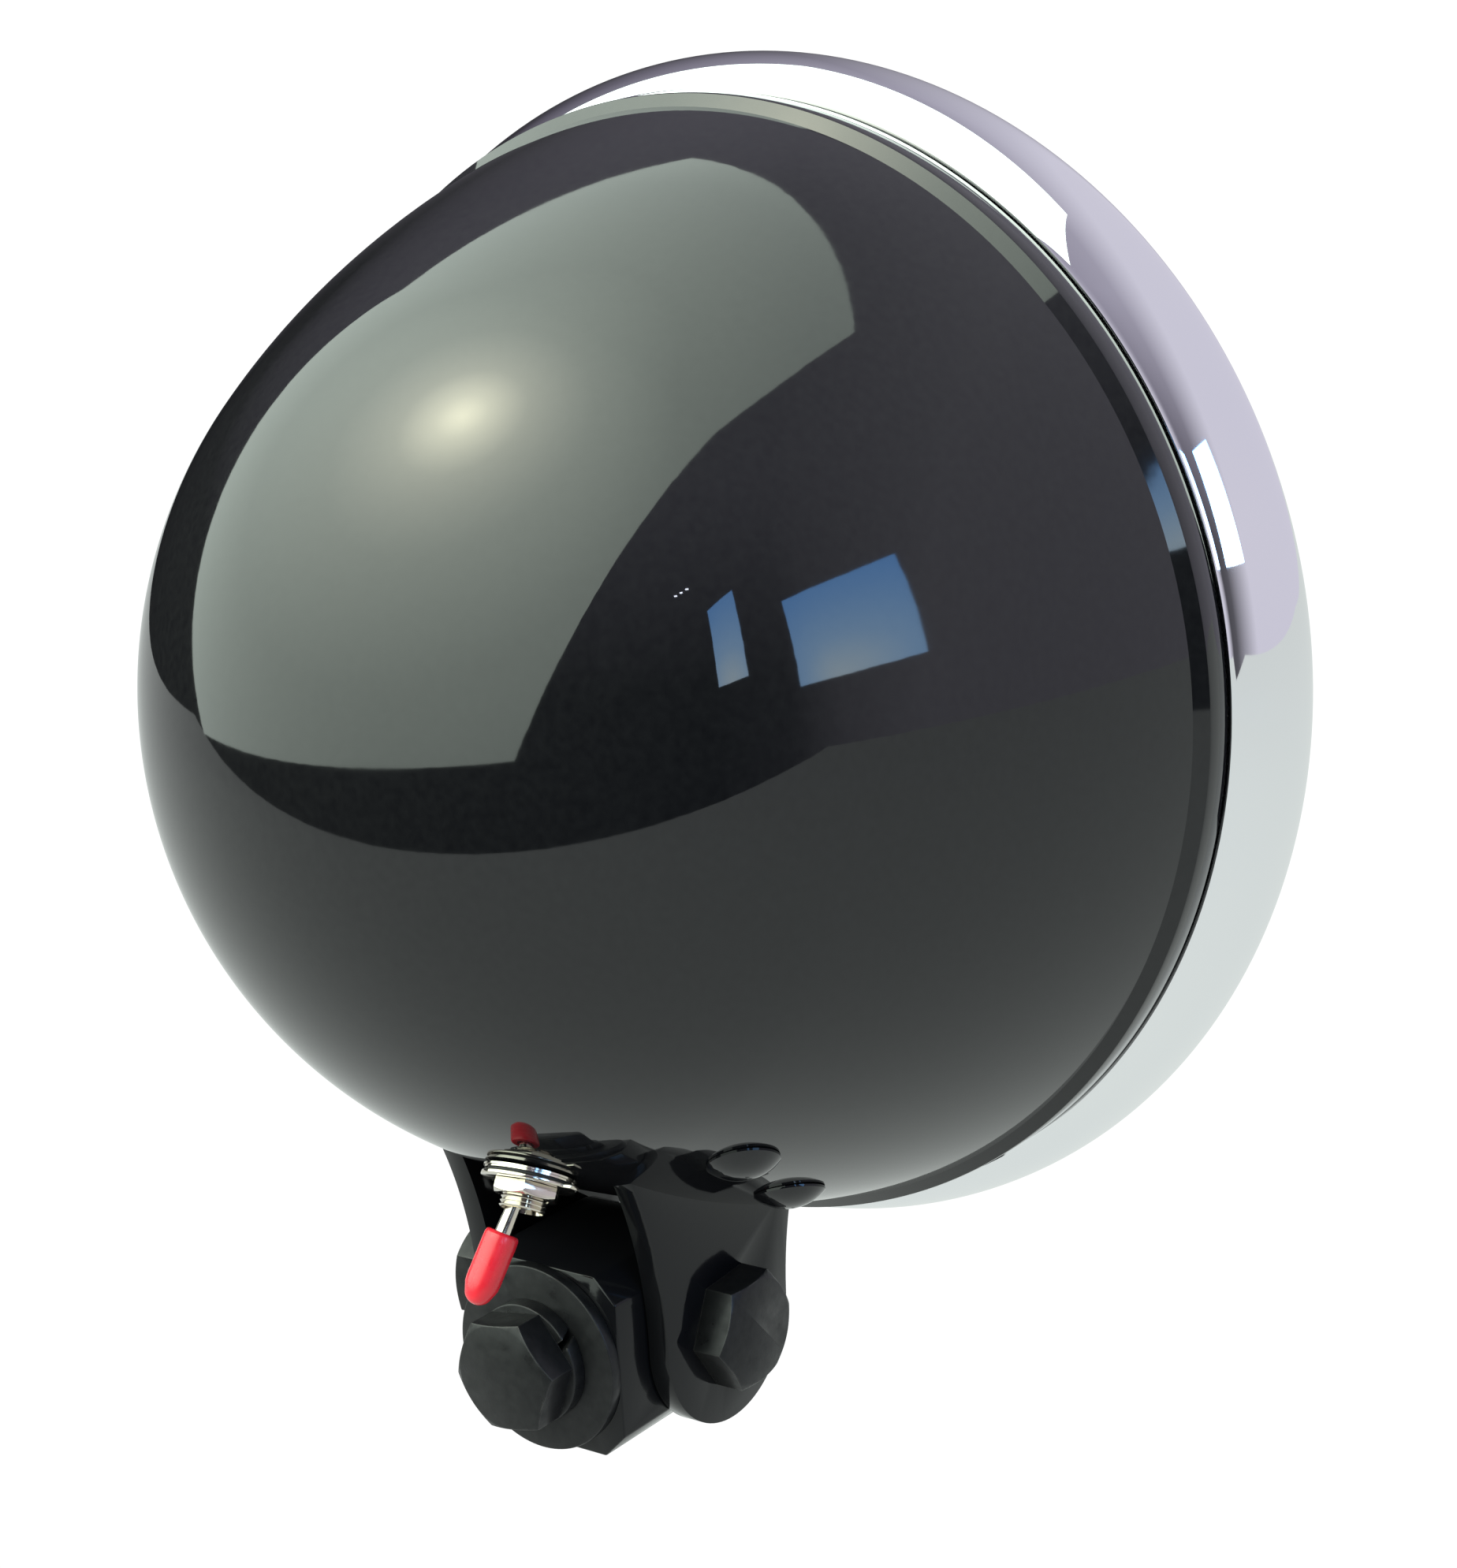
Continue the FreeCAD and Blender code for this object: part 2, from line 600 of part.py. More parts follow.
def make_lever():
    frame = lever_frame()
    slope = 1.45 * math.sqrt(0.5)
    end = 17.4
    keep("toggle_lever", turned("toggle_lever", [
        ((-1.45, 0.0), (-slope, slope), (0.0, 1.45)),
        ((0.0, 1.45), (slope, slope)),
        ((slope, slope), (2.4, 0.85)),
        ((2.4, 0.85), (end, 1.3)),
        ((end, 1.3), (end, 0.0)),
        ((end, 0.0), (-1.45, 0.0)),
    ], frame.Base, frame.Rotation))
    radius, start = dim("cap_radius"), CAP_START - LEVER_PIVOT
    bottom = end + 0.1
    end = start + dim("cap_length")
    keep("lever_cap", turned("lever_cap", [
        ((start, 1.33), (start, radius - 0.35)),
        ((start, radius - 0.35), (start + 0.5, radius)),
        ((start + 0.5, radius), (end - 2.6, radius)),
        ((end - 2.6, radius), (end - 0.7, 1.5)),
        tuple(reversed(dome(end, (end - 0.7, 1.5)))),
        ((end, 0.0), (bottom, 0.0)),
        ((bottom, 0.0), (bottom, 1.33)),
        ((bottom, 1.33), (start, 1.33)),
    ], frame.Base, frame.Rotation))


# ---------------------------------------------------------------- assembly and export
cavity = bowl_solid("bowl_cavity", SHEET)
foot_inner = bowl_solid("bowl_within_feet", SHEET + dim("foot_thickness"))
openings = make_ears(cavity, foot_inner)
openings.append(make_grommet())
openings.append(make_switch())
make_bowl(openings)
make_trim_ring()
make_optic()
make_bulb()
make_rivets()
make_block()
make_mount_bolt()
make_pivot_bolt()
make_lever()
doc.recompute()

failed = [o.Name for o in doc.Objects if {"Invalid", "Error"} & set(o.State)]
if failed:
    raise RuntimeError(f"objects failed to recompute: {failed}")
os.makedirs("parts", exist_ok=True)
for label, piece in sorted(pieces.items()):
    shape = piece.Shape
    if shape.isNull() or not shape.isValid() or not shape.Solids:
        raise RuntimeError(f"{label} is not a valid solid")
    shape.exportStep(f"parts/{label}.step")
    box = shape.BoundBox
    print(f"{label:24s} solids {len(shape.Solids)} volume {shape.Volume:10.1f}"
          f"  x {box.XMin:7.1f} {box.XMax:7.1f}  y {box.YMin:7.1f} {box.YMax:7.1f}"
          f"  z {box.ZMin:7.1f} {box.ZMax:7.1f}")
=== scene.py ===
"""Swivel headlamp: black painted bowl, chrome trim ring, bolted block bracket, capped toggle."""
import json
import math

import bmesh
import bpy
from mathutils import Matrix, Vector


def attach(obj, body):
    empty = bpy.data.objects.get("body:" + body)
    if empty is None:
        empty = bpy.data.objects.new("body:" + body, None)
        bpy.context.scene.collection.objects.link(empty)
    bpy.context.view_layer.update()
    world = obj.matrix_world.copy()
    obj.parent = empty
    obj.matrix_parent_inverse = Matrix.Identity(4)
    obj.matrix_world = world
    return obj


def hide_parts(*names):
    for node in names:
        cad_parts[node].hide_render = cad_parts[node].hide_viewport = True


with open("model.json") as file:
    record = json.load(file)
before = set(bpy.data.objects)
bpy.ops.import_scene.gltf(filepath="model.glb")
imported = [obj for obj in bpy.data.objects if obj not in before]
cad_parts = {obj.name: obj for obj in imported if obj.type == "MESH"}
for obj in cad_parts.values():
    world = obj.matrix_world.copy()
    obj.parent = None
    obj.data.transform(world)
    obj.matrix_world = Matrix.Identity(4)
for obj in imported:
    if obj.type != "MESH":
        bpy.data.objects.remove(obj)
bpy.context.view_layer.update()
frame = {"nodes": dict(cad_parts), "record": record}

MM = 0.001
LAMP_CENTRE = Vector((0.0, -48.0, 84.0)) * MM  # middle of the bowl's front edge
FLOOR_Z = -0.42


# ------------------------------------------------------------------ materials
def colour_ramp(nodes, links, value, stops, interpolation="LINEAR"):
    """Maps a value socket through (position, grey or colour) stops."""
    node = nodes.new("ShaderNodeValToRGB")
    node.color_ramp.interpolation = interpolation
    elements = node.color_ramp.elements
    while len(elements) < len(stops):
        elements.new(0.5)
    for element, (position, colour) in zip(elements, stops):
        element.position = position
        grey = (colour,) * 3 if isinstance(colour, (int, float)) else colour
        element.color = (*grey, 1.0)
    links.new(value, node.inputs["Fac"])
    return node.outputs["Color"]


class Finish:
    """A procedural material on Object coordinates, built from a few named layers."""

    def __init__(self, name, colour, roughness, metallic=0.0):
        self.material = bpy.data.materials.new(name)
        self.material.use_nodes = True
        self.material.diffuse_color = (*colour, 1.0)
        self.nodes = self.material.node_tree.nodes
        self.links = self.material.node_tree.links
        self.shader = self.nodes["Principled BSDF"]
        self.shader.inputs["Base Color"].default_value = (*colour, 1.0)
        self.shader.inputs["Roughness"].default_value = roughness
        self.shader.inputs["Metallic"].default_value = metallic
        self.coords = self.nodes.new("ShaderNodeTexCoord")

    def set(self, **values):
        for key, value in values.items():
            self.shader.inputs[key.replace("_", " ")].default_value = value
        return self

    def noise(self, scale, detail=3.0, roughness=0.55):
        """Cloudy grey between nought and one; scale is in cells per metre."""
        node = self.nodes.new("ShaderNodeTexNoise")
        node.inputs["Scale"].default_value = scale
        node.inputs["Detail"].default_value = detail
        node.inputs["Roughness"].default_value = roughness
        self.links.new(self.coords.outputs["Object"], node.inputs["Vector"])
        return node.outputs["Fac"]

    def ramp(self, value, stops):
        return colour_ramp(self.nodes, self.links, value, stops)

    def mix(self, factor, low, high):
        """Mixes two colours (tuples or sockets) by a factor socket."""
        node = self.nodes.new("ShaderNodeMix")
        node.data_type = "RGBA"
        self.links.new(factor, node.inputs["Factor"])
        for socket, value in ((node.inputs[6], low), (node.inputs[7], high)):
            if isinstance(value, tuple):
                socket.default_value = (*value, 1.0)
            else:
                self.links.new(value, socket)
        return node.outputs[2]

    def edges(self, radius, low=0.02, high=0.2):
        """One on edges and nothing on flats, from how far a rounded normal leans."""
        bevel = self.nodes.new("ShaderNodeBevel")
        bevel.samples = 6
        bevel.inputs["Radius"].default_value = radius
        geometry = self.nodes.new("ShaderNodeNewGeometry")
        dot = self.nodes.new("ShaderNodeVectorMath")
        dot.operation = "DOT_PRODUCT"
        self.links.new(bevel.outputs["Normal"], dot.inputs[0])
        self.links.new(geometry.outputs["Normal"], dot.inputs[1])
        lean = self.nodes.new("ShaderNodeMath")
        lean.operation = "SUBTRACT"
        lean.inputs[0].default_value = 1.0
        self.links.new(dot.outputs["Value"], lean.inputs[1])
        return self.ramp(lean.outputs[0], [(low, 0.0), (high, 1.0)])

    def colour(self, socket):
        self.links.new(socket, self.shader.inputs["Base Color"])
        return self

    def roughness(self, socket):
        self.links.new(socket, self.shader.inputs["Roughness"])
        return self

    def bump(self, height, distance, strength=1.0):
        node = self.nodes.new("ShaderNodeBump")
        node.inputs["Distance"].default_value = distance
        node.inputs["Strength"].default_value = strength
        self.links.new(height, node.inputs["Height"])
        self.links.new(node.outputs["Normal"], self.shader.inputs["Normal"])
        return self


def gloss_black():
    finish = Finish("gloss_black_enamel", (0.006, 0.006, 0.007), 0.035)
    finish.set(Specular_IOR_Level=0.5, IOR=1.5)
    haze = finish.noise(38.0, 2.0)
    finish.roughness(finish.ramp(haze, [(0.3, 0.02), (0.75, 0.06)]))
    finish.colour(finish.mix(finish.noise(900.0, 1.0), (0.004, 0.004, 0.005), (0.009, 0.009, 0.010)))
    finish.bump(finish.noise(420.0, 1.0), 0.00002, 0.12)
    return finish.material


def bracket_black():
    finish = Finish("bracket_black_enamel", (0.005, 0.005, 0.006), 0.1)
    finish.set(IOR=1.5, Specular_IOR_Level=0.26)
    finish.roughness(finish.ramp(finish.noise(160.0, 4.0), [(0.3, 0.05), (0.75, 0.16)]))
    finish.bump(finish.noise(700.0, 2.0), 0.00003, 0.25)
    return finish.material


def chrome():
    finish = Finish("bright_chrome", (0.86, 0.87, 0.90), 0.03, 1.0)
    finish.roughness(finish.ramp(finish.noise(60.0, 4.0), [(0.35, 0.015), (0.8, 0.06)]))
    finish.colour(finish.mix(finish.noise(24.0, 2.0), (0.84, 0.85, 0.89), (0.90, 0.90, 0.91)))
    return finish.material


def black_oxide():
    finish = Finish("black_oxide_steel", (0.018, 0.018, 0.019), 0.36, 0.5)
    finish.set(Specular_IOR_Level=0.3)
    # Lighter grey mixed into the colour along the edges, from the bevel mask.
    edge_mask = finish.edges(0.0004)
    blotch = finish.noise(700.0, 4.0)
    base = finish.mix(blotch, (0.008, 0.008, 0.009), (0.026, 0.026, 0.027))
    finish.colour(finish.mix(edge_mask, base, (0.13, 0.125, 0.12)))
    finish.roughness(finish.ramp(finish.noise(420.0, 4.0), [(0.3, 0.26), (0.75, 0.5)]))
    finish.bump(finish.noise(1500.0, 3.0), 0.00004, 0.35)
    return finish.material


def nickel():
    finish = Finish("bright_nickel", (0.66, 0.61, 0.53), 0.14, 1.0)
    finish.colour(finish.mix(finish.noise(300.0, 3.0), (0.58, 0.53, 0.45), (0.73, 0.68, 0.60)))
    finish.roughness(finish.ramp(finish.noise(900.0, 4.0), [(0.3, 0.08), (0.8, 0.2)]))
    finish.bump(finish.noise(2600.0, 2.0), 0.00002, 0.2)
    return finish.material


def red_vinyl():
    finish = Finish("red_dipped_vinyl", (0.70, 0.015, 0.03), 0.28)
    finish.set(IOR=1.52, Subsurface_Weight=0.12, Subsurface_Scale=0.001)
    finish.shader.inputs["Subsurface Radius"].default_value = (1.0, 0.2, 0.1)
    finish.colour(finish.mix(finish.noise(260.0, 3.0), (0.62, 0.010, 0.022), (0.78, 0.022, 0.038)))
    finish.roughness(finish.ramp(finish.noise(500.0, 3.0), [(0.3, 0.2), (0.8, 0.38)]))
    finish.bump(finish.noise(700.0, 2.0), 0.00004, 0.2)
    return finish.material


def black_rubber():
    finish = Finish("black_rubber", (0.015, 0.015, 0.015), 0.6)
    finish.roughness(finish.ramp(finish.noise(800.0, 4.0), [(0.3, 0.45), (0.8, 0.75)]))
    finish.bump(finish.noise(2000.0, 3.0), 0.00005, 0.4)
    return finish.material


def black_plastic():
    finish = Finish("moulded_black_plastic", (0.02, 0.02, 0.022), 0.42)
    finish.roughness(finish.ramp(finish.noise(1200.0, 4.0), [(0.3, 0.34), (0.8, 0.55)]))
    finish.bump(finish.noise(3000.0, 3.0), 0.00004, 0.4)
    return finish.material


def zinc_plate():
    finish = Finish("zinc_plated_steel", (0.62, 0.62, 0.60), 0.32, 1.0)
    finish.colour(finish.mix(finish.noise(90.0, 5.0), (0.5, 0.5, 0.49), (0.7, 0.7, 0.67)))
    finish.roughness(finish.ramp(finish.noise(400.0, 4.0), [(0.3, 0.24), (0.8, 0.46)]))
    return finish.material


def silvering():
    finish = Finish("silvered_reflector", (0.9, 0.9, 0.9), 0.05, 1.0)
    finish.roughness(finish.ramp(finish.noise(70.0, 3.0), [(0.3, 0.03), (0.8, 0.09)]))
    return finish.material


def clear_glass():
    finish = Finish("pressed_clear_glass", (0.97, 0.99, 1.0), 0.02)
    finish.set(IOR=1.5, Transmission_Weight=1.0)
    finish.bump(finish.noise(160.0, 1.0), 0.00004, 0.25)
    return finish.material


FINISHES = {
    "black_paint": gloss_black(),
    "bracket_paint": bracket_black(),
    "rivet_paint": gloss_black(),
    "chrome": chrome(),
    "clear_glass": clear_glass(),
    "silvered": silvering(),
    "zinc_steel": zinc_plate(),
    "black_rubber": black_rubber(),
    "plug_plastic": black_plastic(),
    "black_oxide": black_oxide(),
    "nickel": nickel(),
    "red_vinyl": red_vinyl(),
}
SLOT_OF = {part["node"]: part["material_slot"] for part in frame["record"]["subparts"]}
BODIES = frame["record"]["behaviour"]["bodies"]
BODY_OF = {node: body for body, nodes in BODIES.items() for node in nodes}

for node, thing in frame["nodes"].items():
    thing.data.materials.clear()
    thing.data.materials.append(FINISHES[SLOT_OF[node]])


# ------------------------------------------------------------------ mesh helpers
def place_piece(bm, name, node, sharp=35.0):
    """Turns a bmesh into a shaded piece that stands for one CAD node."""
    bmesh.ops.recalc_face_normals(bm, faces=bm.faces)
    for face in bm.faces:
        face.smooth = True
    for edge in bm.edges:
        if len(edge.link_faces) == 2 and edge.calc_face_angle(0.0) > math.radians(sharp):
            edge.smooth = False
    mesh = bpy.data.meshes.new(name)
    bm.to_mesh(mesh)
    bm.free()
    piece = bpy.data.objects.new(name, mesh)
    bpy.context.scene.collection.objects.link(piece)
    mesh.materials.append(FINISHES[SLOT_OF[node]])
    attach(piece, BODY_OF[node])
    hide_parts(node)
    return piece


def spun(profile, base, direction, steps=256):
    """A closed surface turned from (along, radius) points, both in metres."""
    bm = bmesh.new()
    verts = [bm.verts.new((radius, along, 0.0)) for along, radius in profile]
    for first, second in zip(verts, verts[1:]):
        bm.edges.new((first, second))
    bmesh.ops.spin(bm, geom=bm.verts[:] + bm.edges[:], cent=(0, 0, 0), axis=(0, 1, 0),
                   angle=math.tau, steps=steps, use_merge=True)
    bmesh.ops.remove_doubles(bm, verts=bm.verts, dist=1e-7)
    on_axis = [edge for edge in bm.edges if not edge.link_faces]
    bmesh.ops.delete(bm, geom=on_axis, context="EDGES")
    turn = Vector((0, 1, 0)).rotation_difference(direction).to_matrix().to_4x4()
    bmesh.ops.transform(bm, matrix=Matrix.Translation(base) @ turn, verts=bm.verts)
    return bm


def arc(centre, radius, start, end, count):
    """Points on an arc in (along, radius) from one angle to another, in degrees."""
    points = []
    for number in range(count + 1):
        angle = math.radians(start + (end - start) * number / count)
        points.append((centre[0] + radius * math.cos(angle), centre[1] + radius * math.sin(angle)))
    return points


def scaled(points):
    """The same points in metres."""
    return [(along * MM, radius * MM) for along, radius in points]


def softened(name, node, width, sharp=30.0):
    """A copy of a CAD node with its sharp edges rounded."""
    bm = bmesh.new()
    bm.from_mesh(frame["nodes"][node].data)
    bmesh.ops.remove_doubles(bm, verts=bm.verts, dist=2e-6)
    bmesh.ops.dissolve_limit(bm, angle_limit=math.radians(0.5), verts=bm.verts, edges=bm.edges)
    corners = [edge for edge in bm.edges
               if len(edge.link_faces) == 2 and edge.calc_face_angle(0.0) > math.radians(sharp)]
    bmesh.ops.bevel(bm, geom=corners, affect="EDGES", offset=width, offset_type="OFFSET",
                    segments=2, profile=0.5, material=-1, clamp_overlap=True)
    return place_piece(bm, name, node, sharp=50.0)


# ------------------------------------------------------------------ bowl and ring
# Millimetres, along the optical axis from the bowl's front edge and out from it.
NOSE_RADIUS = 66.1
NOSE_CENTRE = 84.5 - NOSE_RADIUS
FLANK_RADIUS = 170.0
JUNCTION = 59.0  # degrees, where the nose's arc meets the flank's
FLANK_CENTRE = (NOSE_CENTRE + (NOSE_RADIUS - FLANK_RADIUS) * math.cos(math.radians(JUNCTION)),
                (NOSE_RADIUS - FLANK_RADIUS) * math.sin(math.radians(JUNCTION)))
BOWL_SHEET = 1.2
COLLAR_RADIUS = 77.6
FLANK_START = 6.1
RING_ROLL = 10.1
RING_CREST = -11.7
RING_TOP = 82.5
RING_SHEET = 1.0
RING_REAR = (-11.7, 66.85)  # centre of the arc between the roll and the collar
RING_REAR_RADIUS = 15.65
REARWARD = Vector((0, 1, 0))
SOFT_EDGES = {
    "bracket_ear_left": 0.0004,
    "bracket_ear_right": 0.0004,
    "mount_block": 0.0005,
    "mount_bolt": 0.00025,
    "pivot_bolt": 0.00025,
    "pivot_nut": 0.00025,
    "mount_flat_washer": 0.0002,
    "mount_lock_washer": 0.0002,
    "pivot_lock_washer": 0.0002,
    "switch_nut": 0.00015,
    "switch_key_washer": 0.0001,
}


def bowl_profile():
    start = math.degrees(math.acos((FLANK_START - FLANK_CENTRE[0]) / FLANK_RADIUS))
    collar, inside = COLLAR_RADIUS, COLLAR_RADIUS - BOWL_SHEET
    outer = [(0.0, collar - 0.4), (0.1, collar - 0.1), (0.4, collar), (4.2, collar), (4.6, collar - 0.1)]
    outer += arc(FLANK_CENTRE, FLANK_RADIUS, start, JUNCTION, 60)
    outer += arc((NOSE_CENTRE, 0.0), NOSE_RADIUS, JUNCTION, 0.0, 110)[1:]
    inner = arc((NOSE_CENTRE, 0.0), NOSE_RADIUS - BOWL_SHEET, 0.0, JUNCTION, 40)
    inner += arc(FLANK_CENTRE, FLANK_RADIUS - BOWL_SHEET, JUNCTION, start, 20)[1:]
    inner += [(4.4, inside), (0.1, inside), (0.0, inside + 0.2), (0.0, collar - 0.4)]
    return outer + inner


def ring_profile():
    lip, roll_centre = RING_CREST - RING_ROLL, (RING_CREST, RING_TOP - RING_ROLL)
    outer = [(-0.4, 77.4), (-0.4, 77.9)]
    outer += arc(RING_REAR, RING_REAR_RADIUS, 46.0, 90.0, 40)
    outer += arc(roll_centre, RING_ROLL, 90.0, 180.0, 48)[1:]
    outer += [(lip, 69.6), (lip + 0.3, 69.3), (lip + 1.0, 69.6)]
    inner = arc(roll_centre, RING_ROLL - RING_SHEET, 180.0, 90.0, 24)
    inner += arc(RING_REAR, RING_REAR_RADIUS - RING_SHEET, 90.0, 47.0, 20)[1:]
    return outer + inner + [(-0.4, 77.4)]


bowl_mesh = spun(scaled(bowl_profile()), LAMP_CENTRE, REARWARD)
place_piece(bowl_mesh, "bowl_shell", "bowl", 22.0)
ring_mesh = spun(scaled(ring_profile()), LAMP_CENTRE, REARWARD)
place_piece(ring_mesh, "trim_ring_chrome", "trim_ring", 30.0)
for node, width in SOFT_EDGES.items():
    softened(node + "_finished", node, width)


# ------------------------------------------------------------------ toggle switch
SWITCH_OFFSET, SWITCH_DEPTH = -5.0, 53.8
SWITCH_REACH = 5.0
THREAD_CREST, THREAD_ROOT, THREAD_PITCH = 3.05, 2.78, 0.55
LEVER_PIVOT = -2.0  # along the switch's axis, out from the bowl
LEVER_LEAN = 12.0  # degrees
LEVER_END = 17.4
CAP_START, CAP_LENGTH, CAP_RADIUS, CAP_BORE = 8.3 - LEVER_PIVOT, 9.7, 2.3, 1.33


def bowl_seat(across, along):
    """A point on the bowl's underside, and the outward direction there."""
    angle = math.acos((along - FLANK_CENTRE[0]) / FLANK_RADIUS)
    radius, centre = FLANK_CENTRE[1] + FLANK_RADIUS * math.sin(angle), FLANK_CENTRE
    if angle < math.radians(JUNCTION):
        radius, centre = math.sqrt(NOSE_RADIUS ** 2 - (along - NOSE_CENTRE) ** 2), (NOSE_CENTRE, 0.0)
    down = math.sqrt(radius ** 2 - across ** 2)
    lift = (radius - centre[1]) / radius
    outward = Vector((across * lift, along - centre[0], -down * lift)).normalized()
    return LAMP_CENTRE + Vector((across, along, -down)) * MM, outward


def threaded_bushing():
    inner = LEVER_PIVOT - 2.2
    points = [(inner, 1.8), (inner, 3.0), (2.6, 3.0)]
    along = 2.8
    while along < SWITCH_REACH - 0.5:
        points += [(along, THREAD_ROOT), (along + THREAD_PITCH * 0.5, THREAD_CREST)]
        along += THREAD_PITCH
    points += [(along, THREAD_ROOT), (SWITCH_REACH, 2.9), (SWITCH_REACH, 2.75)]
    return points + [(LEVER_PIVOT + 1.4, 1.8), (inner, 1.8)]


def lever_profile():
    return arc((0.0, 0.0), 1.45, 180.0, 40.0, 16) + [(2.4, 0.85), (LEVER_END, 1.3), (LEVER_END, 0.0)]


def cap_profile():
    start, end, floor = CAP_START, CAP_START + CAP_LENGTH, LEVER_END + 0.1
    outer = [(start, CAP_BORE), (start, 1.95), (start + 0.15, 2.15), (start + 0.5, 2.27),
             (start + 1.4, CAP_RADIUS), (end - 3.2, CAP_RADIUS), (end - 2.4, 2.2)]
    outer += arc((end - 1.9, 0.0), 1.9, 62.0, 0.0, 14)
    return outer + [(floor, 0.0), (floor, CAP_BORE), (start, CAP_BORE)]


seat, outward = bowl_seat(SWITCH_OFFSET, SWITCH_DEPTH)
lateral = (Vector((1, 0, 0)) - outward * outward.x).normalized()
lean = math.radians(LEVER_LEAN)
lever_line = outward * math.cos(lean) + lateral * math.sin(lean)
lever_pivot = seat + outward * LEVER_PIVOT * MM
bushing_mesh = spun(scaled(threaded_bushing()), seat, outward, 96)
place_piece(bushing_mesh, "switch_bushing_threaded", "switch_bushing", 50.0)
lever_mesh = spun(scaled(lever_profile()), lever_pivot, lever_line, 64)
place_piece(lever_mesh, "toggle_lever_turned", "toggle_lever", 30.0)
cap_mesh = spun(scaled(cap_profile()), lever_pivot, lever_line, 96)
place_piece(cap_mesh, "lever_cap_dipped", "lever_cap", 60.0)


# ------------------------------------------------------------------ studio
def glow_material(name, stops, reach=1.0):
    """Light of its own: stops are (position, colour), by distance from the panel's centre over reach."""
    material = bpy.data.materials.new(name)
    material.use_nodes = True
    nodes, links = material.node_tree.nodes, material.node_tree.links
    nodes.clear()
    emission = nodes.new("ShaderNodeEmission")
    if len(stops) > 1:
        coords = nodes.new("ShaderNodeTexCoord")
        length = nodes.new("ShaderNodeVectorMath")
        length.operation = "LENGTH"
        links.new(coords.outputs["Object"], length.inputs[0])
        share = nodes.new("ShaderNodeMath")
        share.operation = "DIVIDE"
        share.inputs[1].default_value = reach
        links.new(length.outputs["Value"], share.inputs[0])
        peak = max(max(colour) for _, colour in stops)
        shares = [(position, tuple(part / peak for part in colour)) for position, colour in stops]
        glow = colour_ramp(nodes, links, share.outputs[0], shares, "B_SPLINE")
        links.new(glow, emission.inputs["Color"])
        emission.inputs["Strength"].default_value = peak
    else:
        emission.inputs["Color"].default_value = (*stops[0][1], 1.0)
        emission.inputs["Strength"].default_value = 1.0
    out = nodes.new("ShaderNodeOutputMaterial")
    links.new(emission.outputs[0], out.inputs["Surface"])
    return material


def lay_floor():
    bm = bmesh.new()
    place = Matrix.Translation((0, -3.75, FLOOR_Z)) @ Matrix.Diagonal((6.0, 5.0, 1.0, 1.0))
    bmesh.ops.create_grid(bm, x_segments=1, y_segments=1, size=1.0, matrix=place)
    mesh = bpy.data.meshes.new("pale_table")
    bm.to_mesh(mesh)
    bm.free()
    table = bpy.data.objects.new("pale_table", mesh)
    material = bpy.data.materials.new("pale_table_top")
    material.use_nodes = True
    shader = material.node_tree.nodes["Principled BSDF"]
    shader.inputs["Base Color"].default_value = (0.05, 0.05, 0.05, 1.0)
    shader.inputs["Roughness"].default_value = 0.9
    shader.inputs["Specular IOR Level"].default_value = 0.0
    shader.inputs["Emission Color"].default_value = (0.66, 0.70, 0.68, 1.0)
    shader.inputs["Emission Strength"].default_value = 1.0
    mesh.materials.append(material)
    table.visible_camera = False
    bpy.context.scene.collection.objects.link(table)


def panel(name, centre, across, up, spans, material):
    """A glowing rectangle that the camera doesn't see; spans are left, right, down and up of its centre."""
    across, up = Vector(across).normalized(), Vector(up).normalized()
    back = across.cross(up).normalized()
    up = back.cross(across)
    left, right, down, top = spans
    bm = bmesh.new()
    bm.faces.new([bm.verts.new(corner) for corner in
                  ((-left, -down, 0), (right, -down, 0), (right, top, 0), (-left, top, 0))])
    mesh = bpy.data.meshes.new(name)
    bm.to_mesh(mesh)
    bm.free()
    mesh.materials.append(material)
    thing = bpy.data.objects.new(name, mesh)
    turn = Matrix((across, up, back)).transposed().to_4x4()
    thing.matrix_world = Matrix.Translation(LAMP_CENTRE + Vector(centre)) @ turn
    thing.visible_camera = False
    bpy.context.scene.collection.objects.link(thing)


BOX_DISTANCE = 1.2
BOX_CENTRE = Vector((0.558, -0.037, 1.257)) * BOX_DISTANCE
BOX_ACROSS = Vector((0.925, -0.375, -0.065)).normalized()
BOX_UP = Vector((-0.224, -0.638, 0.737)).normalized()
BOX_HALF = (1.4 * BOX_DISTANCE, 1.935 * BOX_DISTANCE)
TUBE_DIRECTION = Vector((0.299, 0.389, 0.872))


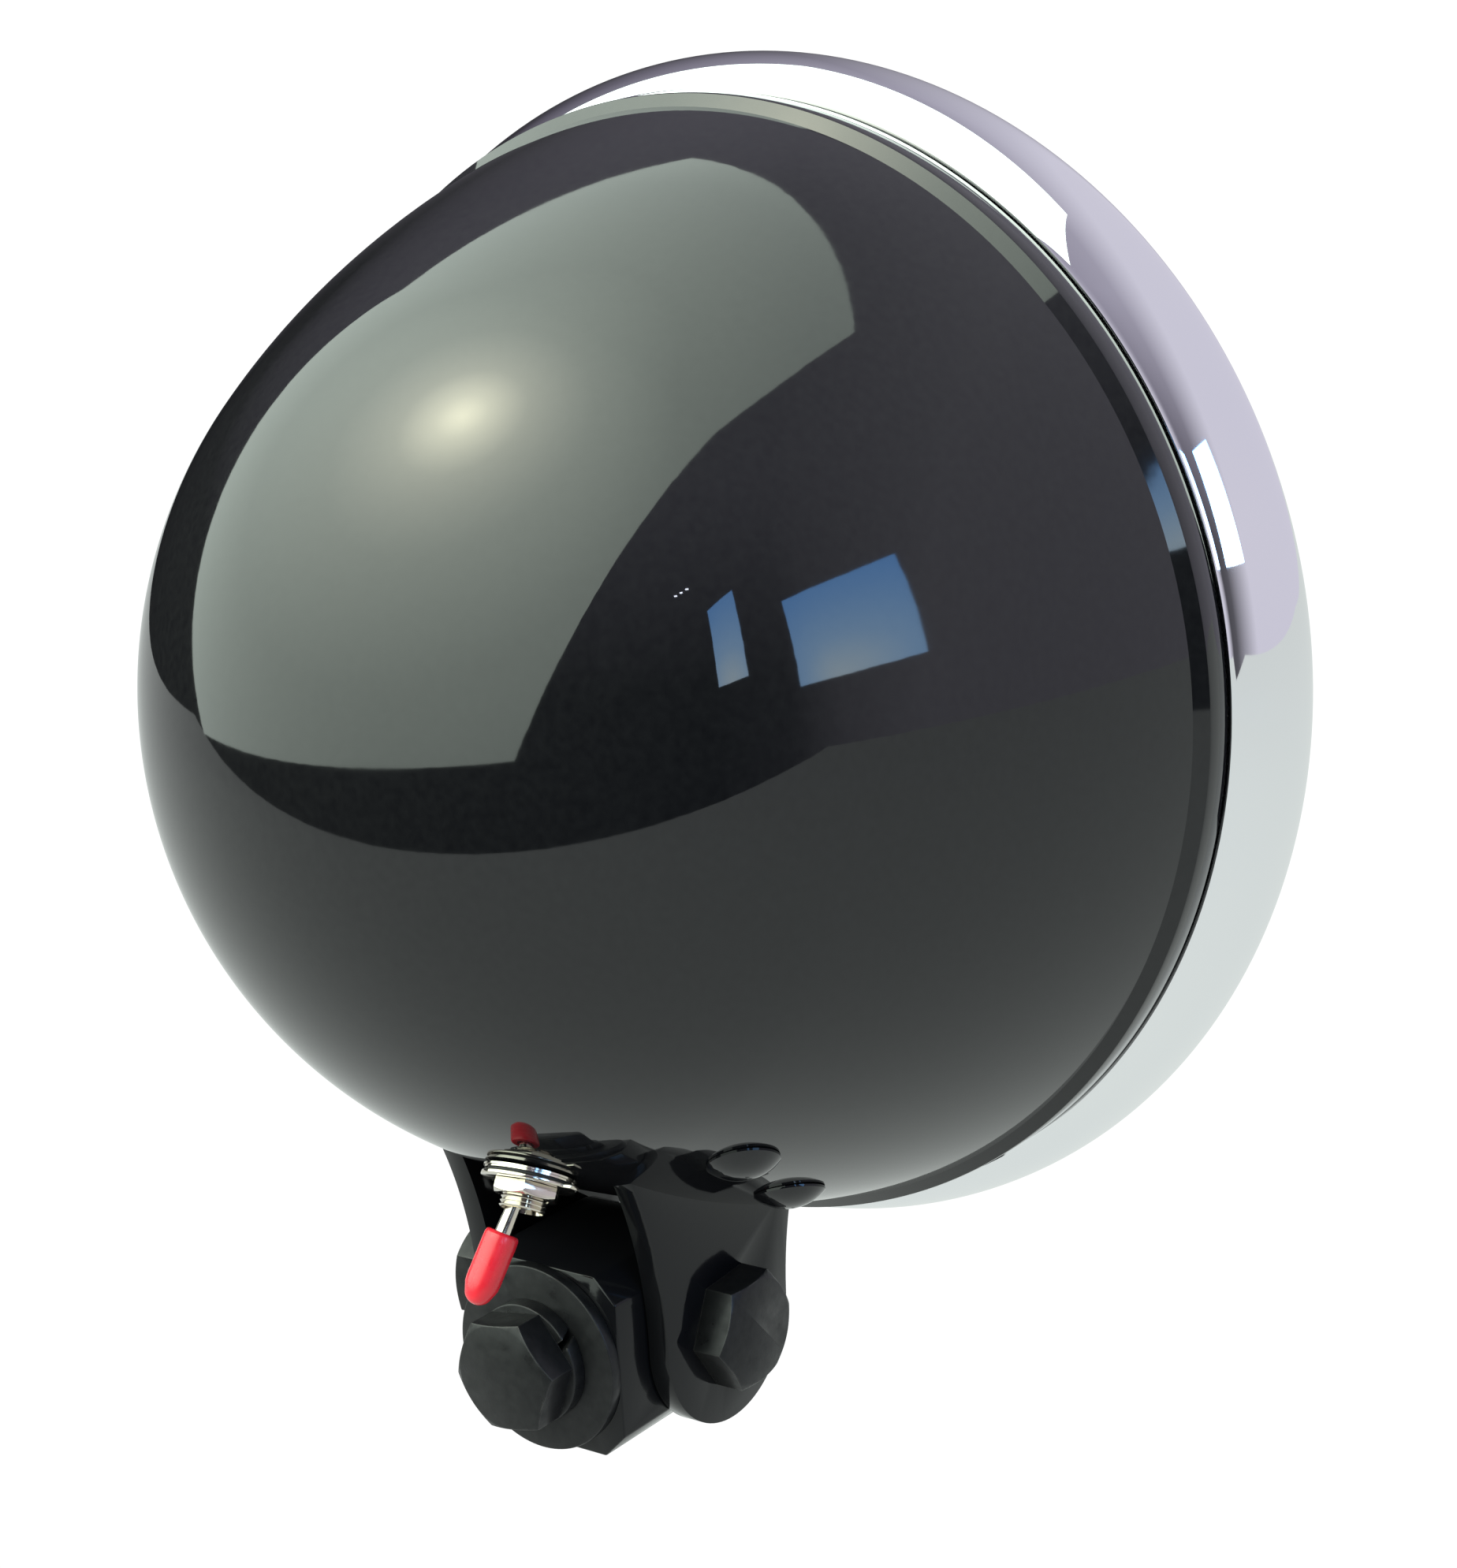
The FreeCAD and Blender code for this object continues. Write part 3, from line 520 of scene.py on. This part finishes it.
def light_studio():
    back = BOX_ACROSS.cross(BOX_UP).normalized()
    up = back.cross(BOX_ACROSS)
    tube = TUBE_DIRECTION * (BOX_CENTRE.dot(back) / TUBE_DIRECTION.dot(back))
    x, y = (tube - BOX_CENTRE).dot(BOX_ACROSS), (tube - BOX_CENTRE).dot(up)
    glow = [(0.0, (19.0, 19.0, 14.5)), (0.045, (13.0, 13.3, 10.6)), (0.11, (7.0, 7.5, 6.4)),
            (0.24, (4.3, 4.9, 4.3)), (0.48, (2.7, 3.1, 2.75)), (1.0, (2.1, 2.4, 2.2))]
    spans = (BOX_HALF[0] + x, BOX_HALF[0] - x, BOX_HALF[1] + y, BOX_HALF[1] - y)
    panel("overhead_softbox", tube, BOX_ACROSS, up, spans, glow_material("softbox_cloth", glow, 2.6))
    daylight = [(0.0, (4.6, 5.6, 6.2)), (0.35, (2.4, 4.2, 6.6)), (1.0, (0.9, 2.6, 6.2))]
    sky = glow_material("window_sky", daylight, 0.7)
    panel("window_near", (-1.72, 0.27, 0.27), (0.1, -1.0, 0.0), (0, 0, 1), (0.29, 0.29, 0.0, 0.62), sky)
    panel("window_far", (-1.55, 0.98, 0.37), (0.35, -1.0, 0.0), (0, 0, 1), (0.17, 0.17, 0.0, 0.62), sky)
    lamp_white = glow_material("small_lamp_white", [(0.0, (30.0, 32.0, 38.0))])
    for number in range(3):
        place = Vector((-0.66, 0.545 + 0.03 * number, 0.525)) * 1.5
        panel(f"small_lamp_{number}", place, (0.65, 0.76, 0.0), (-0.4, 0.34, 0.85), (0.008,) * 4, lamp_white)


def make_world():
    """White paper behind and beside the lamp, a dim room on the camera's side."""
    world = bpy.data.worlds.new("studio_room")
    bpy.context.scene.world = world
    world.use_nodes = True
    nodes, links = world.node_tree.nodes, world.node_tree.links
    nodes.clear()
    coords = nodes.new("ShaderNodeTexCoord")
    split = nodes.new("ShaderNodeSeparateXYZ")
    links.new(coords.outputs["Generated"], split.inputs[0])
    dim_room = colour_ramp(nodes, links, split.outputs["Z"], [
        (0.0, (0.010, 0.010, 0.012)), (0.2, (0.014, 0.013, 0.016)), (0.45, (0.13, 0.12, 0.155)),
        (0.8, (0.34, 0.32, 0.40))])
    paper_side = nodes.new("ShaderNodeVectorMath")
    paper_side.operation = "DOT_PRODUCT"
    paper_side.inputs[1].default_value = (-0.6, -0.8, 0.0)
    links.new(coords.outputs["Generated"], paper_side.inputs[0])
    share = colour_ramp(nodes, links, paper_side.outputs["Value"], [
        (0.0, (0, 0, 0)), (0.3, (0.14,) * 3), (0.62, (1, 1, 1))])
    blend = nodes.new("ShaderNodeMix")
    blend.data_type = "RGBA"
    links.new(share, blend.inputs["Factor"])
    links.new(dim_room, blend.inputs[6])
    blend.inputs[7].default_value = (0.66, 0.64, 0.74, 1.0)
    room = nodes.new("ShaderNodeBackground")
    links.new(blend.outputs[2], room.inputs["Color"])
    paper = nodes.new("ShaderNodeBackground")
    paper.inputs["Color"].default_value = (1.0, 1.0, 1.0, 1.0)
    paper.inputs["Strength"].default_value = 1.05
    path = nodes.new("ShaderNodeLightPath")
    mix = nodes.new("ShaderNodeMixShader")
    links.new(path.outputs["Is Camera Ray"], mix.inputs[0])
    links.new(room.outputs[0], mix.inputs[1])
    links.new(paper.outputs[0], mix.inputs[2])
    out = nodes.new("ShaderNodeOutputWorld")
    links.new(mix.outputs[0], out.inputs["Surface"])


def place_camera():
    data = bpy.data.cameras.new("studio_camera")
    data.lens = 67.06
    data.sensor_width = 36.0
    data.clip_start = 0.01
    camera = bpy.data.objects.new("studio_camera", data)
    right = Vector((-0.80964, -0.58428, -0.05577)).normalized()
    up = Vector((0.09323, -0.22184, 0.97062)).normalized()
    back = right.cross(up)
    turn = Matrix((right, up, back)).transposed().to_4x4()
    camera.matrix_world = Matrix.Translation((-0.23766, 0.27196, 0.16285)) @ turn
    bpy.context.scene.collection.objects.link(camera)
    bpy.context.scene.camera = camera


lay_floor()
light_studio()
make_world()
place_camera()
bpy.context.scene.view_settings.view_transform = "Standard"
